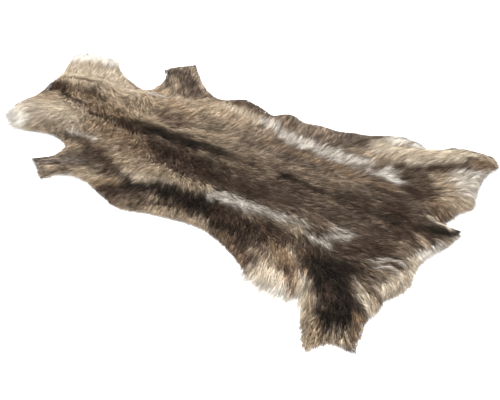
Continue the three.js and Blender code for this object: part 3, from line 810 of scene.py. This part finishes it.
def addSkin():
    # A triangulated plan between two sheets a skin's thickness apart, joined round the edge.
    border = skinEdge()
    inner = hexGrid(skin["gridStep"], 0.5 * skin["gridStep"])
    plan = [Vector(point) for point in np.concatenate([border, inner])]
    flat = delaunay_2d_cdt(plan, [], [list(range(len(border)))], 1, 1e-4)
    points = np.array([tuple(v) for v in flat[0]])
    triangles = np.array([list(f) for f in flat[2]])
    a, b, c = (points[triangles[:, k]] for k in range(3))
    turn = (b[:, 0] - a[:, 0]) * (c[:, 1] - a[:, 1]) - (b[:, 1] - a[:, 1]) * (c[:, 0] - a[:, 0])
    triangles[turn < 0] = triangles[turn < 0][:, ::-1]
    start, end = np.array(openSides(triangles)).T
    height = np.maximum(ground.read(ground.under, *points.T), 0)
    lower = np.column_stack([points, height])
    upper = np.column_stack([points, height + skin["thickness"]])
    n = len(points)
    walls = np.concatenate([np.column_stack([start, end, end + n]),
                            np.column_stack([start, end + n, start + n])])
    faces = np.concatenate([triangles[:, ::-1], triangles + n, walls])
    coat = ground.read(ground.coat, *points.T)
    # The under-wool's painted shade is lifted where the coat parts.
    coat = coat * (1 + tintAndShade["parted"] * ground.read(ground.parting, *points.T))[:, None]
    piece = fillMesh("skin", np.concatenate([lower, upper]), faces, [suedeMaterial, woolMaterial],
                     np.concatenate([coat, coat]))
    isWool = np.zeros(len(faces), np.int32)
    isWool[len(triangles):2 * len(triangles)] = 1
    piece.data.polygons.foreach_set("material_index", isWool)
    return piece, points, triangles


skinPiece, skinPoints, skinTriangles = addSkin()
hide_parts("hide")
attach(skinPiece, "root")
print("skin laid:", len(skinPiece.data.polygons), "triangles")

# How every needle of hair is laid, shaped and coloured.
needle = {"flatness": 0.36, "taper": 0.55,  # flatness: a needle's depth over its width
          "cellEdge": 0.04, "cellTall": 1.5}
trim = {"rounds": 4, "pace": 1.05, "shortest": 0.25}  # how hair is shortened at the outline
course = {"droop": 26, "thinnest": 0.15, "leastRoom": 1.0,  # how hair rises, and sinks past the skin
          "edgeFall": 4, "leastHeight": 0.3, "drawn": 1.4, "arch": 0.75}
# shade: how strongly the fine locks are painted lighter and darker, as painted highlight on their tops
# and painted shade between them
streak = {"at": 0.4, "step": 2.0, "steps": 3, "limit": 2.2, "layer": 7,  # fine locks
          "lift": 0.06, "shade": 0.48, "calm": 0.5}
wisps = {"from": 12, "over": 20}  # the reaches past the skin at which hair turns wispy
readAt = {"own": 0.55, "root": 0.35, "shake": 1.2}  # where a needle takes its colour from


def wispiness(x, y):
    # 0 to 1 by how far the hair reaches past the skin.
    return np.clip((reachPastSkin(x, y) - wisps["from"]) / wisps["over"], 0, 1)


def paleness(coat):
    # 0 to 1 by the amount of red in the coat's colour.
    return np.clip((coat[:, 0] - paleFrom) / paleRange, 0, 1)


def nearestLock(x, y, size):
    # Each strand's lock: the nearest of the jittered lattice points around it, and its random values.
    i, j = np.floor(x / size).astype(int), np.floor(y / size).astype(int)
    best = np.full(len(x), np.inf)
    centre = np.zeros((len(x), 2))
    number = np.zeros((len(x), 2), int)
    for di in (-1, 0, 1):
        for dj in (-1, 0, 1):
            a, b = i + di, j + dj
            cell = (b % latticeSide, a % latticeSide)
            own = np.stack([a + lattice[4][cell], b + lattice[5][cell]], axis=1) * size
            away = np.hypot(x - own[:, 0], y - own[:, 1])
            nearer = away < best
            best = np.where(nearer, away, best)
            centre[nearer] = own[nearer]
            number[nearer] = np.stack(cell, axis=1)[nearer]
    return centre, lattice[:4, number[:, 0], number[:, 1]]


def turned(lie, degrees):
    # Plan directions turned by an angle.
    angle = np.radians(degrees)
    c, s = np.cos(angle), np.sin(angle)
    return np.stack([lie[:, 0] * c - lie[:, 1] * s, lie[:, 0] * s + lie[:, 1] * c], axis=1)


def streaks(roots, lie, length, width):
    # Fine waves averaged along the coat's lie through one place on each needle, then stretched to a
    # spread of 1.
    x, y = (roots[:, k] + streak["at"] * length * lie[:, k] for k in (0, 1))
    total = waves(x, y, width, streak["layer"])
    for way in (-1, 1):
        px, py = x, y
        for _ in range(streak["steps"]):
            along = ground.read(ground.lie, px, py)
            px = px + way * streak["step"] * along[:, 0]
            py = py + way * streak["step"] * along[:, 1]
            total = total + waves(px, py, width, streak["layer"])
    return np.clip((total - total.mean()) / total.std(), -streak["limit"], streak["limit"])


def keepInside(roots, lie, length, past):
    # Shortens the hairs whose tips would pass the outline by more than their own ragged share, which
    # shrinks to nothing in a neat place.
    for _ in range(trim["rounds"]):
        tip = roots + lie * length[:, None]
        allowed = past * (1 - neatness(*tip.T))
        beyond = -allowed - ground.read(ground.edge, *tip.T)
        length = np.maximum(length - np.maximum(beyond, 0) * trim["pace"], trim["shortest"] * length)
    return length


def strandCourse(roots, length, lie, curl, steep, layer, lift, lockRoots, lockLie, pull, stops):
    # Places along each strand: out along its lie, curled sideways by the square of the way along,
    # drawn to the lock's own middle hair, and rising through the coat's depth as it goes. Past the
    # skin's edge the depth runs out, so that the ends come down to the floor.
    side = np.stack([-lie[:, 1], lie[:, 0]], axis=1)
    places = []
    for t in stops:
        plan = roots + (lie * t + side * (curl * t * t)[:, None]) * length[:, None]
        lock = lockRoots + lockLie * (length * t)[:, None]
        plan = plan + (lock - plan) * (pull * t ** course["drawn"])[:, None]
        x, y = plan.T
        inset = ground.read(ground.inset, x, y)
        room = np.maximum(ground.read(ground.depth, x, y) - skin["thickness"], course["leastRoom"])
        room = room * np.clip(1 + inset / course["droop"], course["thinnest"], 1)
        rise = 1 - (1 - t) ** steep
        onSkin = np.clip(inset / course["edgeFall"] + 1, 0, 1)
        floor = np.maximum(ground.read(ground.under, x, y), 0) + skin["thickness"] * onSkin
        z = floor + room * layer * rise + lift * np.sin(np.pi * course["arch"] * t)
        places.append(np.column_stack([plan, np.maximum(z, course["leastHeight"])]))
    return np.stack(places, axis=1)


def needleFaces(heights, rings):
    # One needle's triangles, and each corner's place in its cell: which side, and how far along.
    faces, cells = [], []

    def add(corners, sides):
        faces.append(corners)
        cells.append([(side, heights[corner]) for side, corner in zip(sides, corners)])

    for k in range(3):
        m = (k + 1) % 3
        add((0, 1 + m, 1 + k), (k + 0.5, k + 1, k))
        for first in range(1, 3 * rings - 2, 3):
            a, b, c, d = first + k, first + m, first + 3 + m, first + 3 + k
            add((a, b, c), (k, k + 1, k + 1))
            add((a, c, d), (k, k + 1, k))
        last = 3 * rings - 2
        add((last + k, last + m, last + 3), (k, k + 1, k + 0.5))
    return np.array(faces), np.array(cells, float)


def alongNeedle(stops):
    # How far along the needle each of its points is.
    return np.concatenate([stops[:1], np.repeat(stops[1:-1], 3), stops[-1:]])


def strandMesh(name, courses, width, colours, stops):
    # Closed three-sided needles: a point at the root, a ring at each inner stop and a point at the
    # tip. Every needle has its own cell in the OFBake map, with its three sides next to each other.
    n, rings = len(courses), len(stops) - 2
    along = courses[:, 2:] - courses[:, :-2]
    along /= np.maximum(np.linalg.norm(along, axis=2, keepdims=True), 1e-6)
    side = np.cross(along, (0.0, 0.0, 1.0))
    side /= np.maximum(np.linalg.norm(side, axis=2, keepdims=True), 1e-6)
    up = np.cross(side, along)
    around = np.radians([90, 210, 330])[None, None, :, None]
    taper = 1 - needle["taper"] * np.array(stops[1:-1]) ** 2
    half = (width[:, None] * taper)[:, :, None, None] / 2
    ring = (courses[:, 1:-1, None] + side[:, :, None] * np.cos(around) * half
            + up[:, :, None] * np.sin(around) * half * needle["flatness"])
    places = np.concatenate([courses[:, :1], ring.reshape(n, -1, 3), courses[:, -1:]], axis=1)
    faces, cells = needleFaces(alongNeedle(stops), rings)
    everyFace = (faces[None] + places.shape[1] * np.arange(n)[:, None, None]).reshape(-1, 3)
    columns = int(np.ceil(np.sqrt(n * needle["cellTall"])))
    rows = int(np.ceil(n / columns))
    corner = np.stack([np.arange(n) % columns, np.arange(n) // columns], axis=1)[:, None, None]
    cell = needle["cellEdge"] + (1 - 2 * needle["cellEdge"]) * cells / (3, 1)
    bakeMap = (corner + cell[None]) / (columns, rows)
    piece = fillMesh(name, places.reshape(-1, 3), everyFace, [hairMaterial], colours.reshape(-1, 3))
    layer = piece.data.uv_layers.new(name="OFBake")
    layer.data.foreach_set("uv", bakeMap.astype(np.float32).ravel())
    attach(piece, "root")
    print(name, len(piece.data.polygons), "triangles")
    return piece


def coatAlong(courses, lie, slide):
    # The coat's colour at each stop: read part way between the stop and the hair's outer third.
    plan = courses[:, :, :2]
    middle = readAt["root"] * plan[:, :1] + (1 - readAt["root"]) * plan[:, -1:]
    own = readAt["own"] * plan + (1 - readAt["own"]) * middle
    shake = dice.normal(0, readAt["shake"], (len(courses), 1, 2))
    own = own + (lie * slide[:, None])[:, None] + shake
    return ground.read(ground.coat, own[..., 0], own[..., 1])


def shadeSwing(coat, fine):
    # How much lighter or darker each hair is than the coat: its own chance, a random tone, and its fine
    # lock's, which is painted shade between the fine locks and painted highlight on their tops, both
    # calmer in pale hair.
    swing = dice.normal(0, tintAndShade["strand"], len(coat)) + streak["shade"] * fine
    return np.exp(swing * (1 - streak["calm"] * paleness(coat[:, 1])))


def strandColours(coat, shade, parted, wispy, stops):
    # The coat's colour at each point of a needle, from its root, darkened as painted shade deep in the
    # coat, to its light tip. That painted shade is lifted where the coat parts, a hair lighter than its
    # neighbours is also greyer as a painted whitish highlight, and pale wispy hair turns white towards
    # its tip.
    pale = paleness(coat[:, -1])
    coat = np.concatenate([coat[:, :1], np.repeat(coat[:, 1:-1], 3, axis=1), coat[:, -1:]], axis=1)
    along = alongNeedle(stops)
    light = np.interp(along, [0, 0.5, 1], [tintAndShade["root"], tintAndShade["middle"], tintAndShade["tip"]])
    light = light * (1 + tintAndShade["parted"] * np.outer(parted, np.clip(1 - 2 * along, 0, 1)))
    paintedHighlightGrey = tintAndShade["paintedHighlightGrey"] * np.clip(shade - 1, 0, 1)[:, None, None]
    coat = coat + paintedHighlightGrey * (coat.mean(axis=2, keepdims=True) - coat)
    colour = coat * shade[:, None, None] * light[..., None]
    frost = tintAndShade["frost"] * np.outer(pale * wispy, along ** 2)[..., None]
    colour = colour + frost * (np.array(tintAndShade["frosted"]) - colour)
    return np.clip(colour, tintAndShade["darkest"], tintAndShade["lightest"])


def lieAt(x, y):
    # The unit direction of the coat's lie.
    lie = ground.read(ground.lie, x, y)
    return lie / np.maximum(np.linalg.norm(lie, axis=1, keepdims=True), 1e-6)


def paintNeedles(kind, roots, courses, lie, lockRandom, fine):
    # Each needle's colours and its width.
    lockSlide = kind["lockSlide"] * (2 * lockRandom[0] - 1)
    coat = coatAlong(courses, lie, lockSlide + dice.normal(0, kind["strandSlide"], len(roots)))
    shade = (1 + kind["lockShade"] * (2 * lockRandom[1] - 1)) * shadeSwing(coat, fine)
    shade *= 1 + kind["mottle"] * (2 * waves(*roots.T, tintAndShade["mottleSize"], 7) - 1)
    parted = ground.read(ground.parting, *roots.T)
    colours = strandColours(coat, shade, parted, wispiness(*roots.T), kind["stops"])
    return colours, kind["width"] * dice.uniform(kind["thin"], kind["thick"], len(roots))


# The short coat.
hair = {"spacing": 2.32, "shake": 1.1, "margin": -14, "leastReach": 12, "hem": 3, "hemThinning": 3,
        "width": 1.5, "thin": 0.75, "thick": 1.25, "stops": (0.0, 0.45, 1.0), "streak": 1.9,
        "shortest": 0.7, "longest": 1.15, "looseFrom": 12, "looseOver": 14, "looseLeast": 0.35,
        "lockSize": 8.0, "lockTurn": 4, "lockShortest": 0.85, "lockRange": 0.3, "lockPull": 0.2,
        "lockSlide": 5, "lockShade": 0.08, "strandTurn": 5, "strandSlide": 3, "mottle": 0.22,
        "ragged": 5, "raggedFine": 0.4, "raggedLeast": 0.3, "wispy": 32, "wispySkew": 0.7,
        "lowLayer": 0.66, "curl": 0.12, "steep": 1.5, "steepRange": 2.6}
hairRegions = [  # name, from x, to x
    ("neckHair", -700, -330),
    ("shoulderHair", -330, -150),
    ("chestHair", -150, 40),
    ("ribHair", 40, 230),
    ("loinHair", 230, 390),
    ("haunchHair", 390, 520),
    ("rumpHair", 520, 700),
]


def coatRoots():
    # A shaken staggered grid, thinned out past the skin's edge and along the neat hems.
    roots = hexGrid(hair["spacing"], hair["margin"])
    roots = roots + (dice.random(roots.shape) - 0.5) * hair["spacing"] * hair["shake"]
    past = -ground.read(ground.inset, *roots.T) / np.maximum(reachPastSkin(*roots.T), hair["leastReach"])
    past += hair["hemThinning"] * neatness(*roots.T) * (ground.read(ground.edge, *roots.T) < hair["hem"])
    return roots[dice.random(len(roots)) > np.clip(past, 0, 1)]


def growCoat():
    # One needle from each root, region by region.
    roots = coatRoots()
    n = len(roots)
    x, y = roots.T
    length = ground.read(ground.length, x, y)
    loose = np.clip((length - hair["looseFrom"]) / hair["looseOver"], hair["looseLeast"], 1)
    centre, lockRandom = nearestLock(x, y, hair["lockSize"])
    lockLie = turned(lieAt(x, y), hair["lockTurn"] * loose * (2 * lockRandom[0] - 1))
    lie = turned(lockLie, dice.normal(0, hair["strandTurn"], n) * loose)
    length = length * (hair["lockShortest"] + hair["lockRange"] * lockRandom[1])
    length *= dice.uniform(hair["shortest"], hair["longest"], n)
    fine = streaks(roots, lie, length, hair["streak"])
    ragged = hair["ragged"] * (dice.random(n) ** 2 + hair["raggedFine"] * fine + hair["raggedLeast"])
    ragged -= wispiness(x, y) * hair["wispy"] * dice.random(n) ** hair["wispySkew"]
    length = keepInside(roots, lie, length, ragged)
    layer = dice.uniform(hair["lowLayer"], 1.0, n) + streak["lift"] * fine
    curl = dice.normal(0, hair["curl"], n)
    steep = hair["steep"] + hair["steepRange"] * dice.random(n) ** 2
    pull = hair["lockPull"] * (0.5 + lockRandom[2])
    courses = strandCourse(roots, length, lie, curl, steep, layer, ground.read(ground.lift, x, y),
                           centre, lockLie, pull, hair["stops"])
    colours, width = paintNeedles(hair, roots, courses, lie, lockRandom, fine)
    pieces = []
    for name, start, end in hairRegions:
        own = (x >= start) & (x < end)
        pieces.append(strandMesh(name, courses[own], width[own], colours[own], hair["stops"]))
    return pieces


hairPieces = growCoat()

# Long hair over the coat's ends.
longHair = {"margin": -2, "streak": 2.6, "width": 1.4, "thin": 0.7, "thick": 1.15,
            "stops": (0.0, 0.3, 0.62, 1.0),
            "shortest": 0.55, "longest": 1.05, "lockSize": 14.0, "lockTurn": 16, "lockShortest": 0.8,
            "lockRange": 0.4, "lockPull": 0.55, "lockSlide": 4, "lockShade": 0.1, "strandTurn": 6,
            "strandSlide": 3, "mottle": 0, "raggedSpread": 2, "raggedLow": 0.9,
            "lowLayer": 0.85, "highLayer": 1.15, "lift": 2, "leastCurl": 0.4, "mostCurl": 1.6,
            "steep": 2.6, "steepest": 4.2}
longTufts = [  # name, x, y, radius, count, length, curl, past the outline
    ("left flap", -520, -80, 95, 900, 60, 0.12, 12),
    ("left flap tip", -528, -100, 55, 1600, 64, 0.12, 20),
    ("right flap", -560, 215, 85, 800, 56, 0.10, 8),
    ("right flap tip", -556, 245, 80, 1900, 78, 0.10, 26),
    ("left groin", 372, -262, 95, 1400, 62, 0.16, 16),
    ("left groin tip", 372, -275, 75, 1900, 78, 0.16, 32),
    ("right groin", 425, 310, 95, 1000, 56, 0.14, 14),
    ("right groin tip", 425, 318, 80, 1300, 58, 0.14, 22),
    ("tail", 602, 45, 48, 500, 52, 0.10, 4),
    ("tail tip", 614, 64, 20, 250, 34, 0.04, 3),
    ("left rump", 585, -145, 70, 900, 46, 0.28, 12),
    ("right haunch", 595, 220, 85, 900, 44, 0.12, 8),
    ("curls", 545, -215, 60, 700, 40, 0.35, 4),
]


def tuftRoots():
    # Evenly scattered roots in each tuft's circle, with its length, curl and reach past the outline.
    roots, kinds = [], []
    for name, cx, cy, radius, count, length, curl, past in longTufts:
        distance = radius * np.sqrt(dice.random(3 * count))
        angle = dice.random(3 * count) * 2 * np.pi
        spots = np.stack([cx + distance * np.cos(angle), cy + distance * np.sin(angle)], axis=1)
        spots = spots[ground.read(ground.inset, *spots.T) > longHair["margin"]][:count]
        roots.append(spots)
        kinds.append(np.tile([float(length), curl, past], (len(spots), 1)))
    return np.concatenate(roots), np.concatenate(kinds).T


def growLongHair():
    # One long needle from each tuft root.
    roots, (length, curl, past) = tuftRoots()
    n = len(roots)
    x, y = roots.T
    centre, lockRandom = nearestLock(x, y, longHair["lockSize"])
    lockLie = turned(lieAt(x, y), longHair["lockTurn"] * (2 * lockRandom[0] - 1))
    lie = turned(lockLie, dice.normal(0, longHair["strandTurn"], n))
    length = length * dice.uniform(longHair["shortest"], longHair["longest"], n)
    length = length * (longHair["lockShortest"] + longHair["lockRange"] * lockRandom[1])
    ragged = longHair["raggedSpread"] * dice.random(n) ** 2 - longHair["raggedLow"]
    length = keepInside(roots, lie, length, ragged * past)
    curl = curl * (lockRandom[2] * 2 - 1)
    curl = curl * dice.uniform(longHair["leastCurl"], longHair["mostCurl"], n)
    fine = streaks(roots, lie, length, longHair["streak"])
    layer = dice.uniform(longHair["lowLayer"], longHair["highLayer"], n) + streak["lift"] * fine
    lift = ground.read(ground.lift, x, y) + dice.random(n) * longHair["lift"]
    steep = dice.uniform(longHair["steep"], longHair["steepest"], n)
    pull = longHair["lockPull"] * (0.4 + lockRandom[3])
    courses = strandCourse(roots, length, lie, curl, steep, layer, lift, centre, lockLie, pull,
                           longHair["stops"])
    colours, width = paintNeedles(longHair, roots, courses, lie, lockRandom, fine)
    return strandMesh("longHair", courses, width, colours, longHair["stops"])


longPiece = growLongHair()

skinSize = skinPoints.max(axis=0) - skinPoints.min(axis=0)
float(skinSize[1] * mm)
float(skinSize[0] * mm)

# Floor and light.
studio = {"floorSize": 14.0, "floorDrop": 0.5, "floorColour": (0.93, 0.93, 0.925, 1),
          "floorGloss": 0.1, "floorRoughness": 0.9, "worldLight": 1.5,
          "keyPlace": (-250, 350, 3000), "keySize": 2.4, "keyPower": 145,
          "fillPlace": (1500, -1800, 2200), "fillSize": 2.4, "fillPower": 38}


def addFloor():
    # A pale square just under the hide.
    half = studio["floorSize"] / 2 / mm
    places = np.array([(x * half, y * half, -studio["floorDrop"])
                       for x, y in ((-1, -1), (1, -1), (1, 1), (-1, 1))])
    material, tree, surface = newMaterial("pale floor")
    fillSockets(tree, surface, {"Base Color": studio["floorColour"],
                                "Roughness": studio["floorRoughness"],
                                "Specular IOR Level": studio["floorGloss"]})
    floor = fillMesh("floor", places, np.array([[0, 1, 2, 3]]), [material])


def addLight(name, place, size, power):
    data = bpy.data.lights.new(name, "AREA")
    data.shape = "DISK"
    data.size = size
    data.energy = power
    light = bpy.data.objects.new(name, data)
    bpy.context.scene.collection.objects.link(light)
    light.location = Vector(place) * mm
    light.rotation_euler = (-light.location).to_track_quat("-Z", "Y").to_euler()


addFloor()
addLight("key", studio["keyPlace"], studio["keySize"], studio["keyPower"])
addLight("fill", studio["fillPlace"], studio["fillSize"], studio["fillPower"])
world = bpy.data.worlds.new("studio")
world.use_nodes = True
world.node_tree.nodes["Background"].inputs["Color"].default_value = (1, 1, 1, 1)
world.node_tree.nodes["Background"].inputs["Strength"].default_value = studio["worldLight"]
bpy.context.scene.world = world
bpy.context.scene.view_settings.view_transform = "Standard"
print("floor and light set")
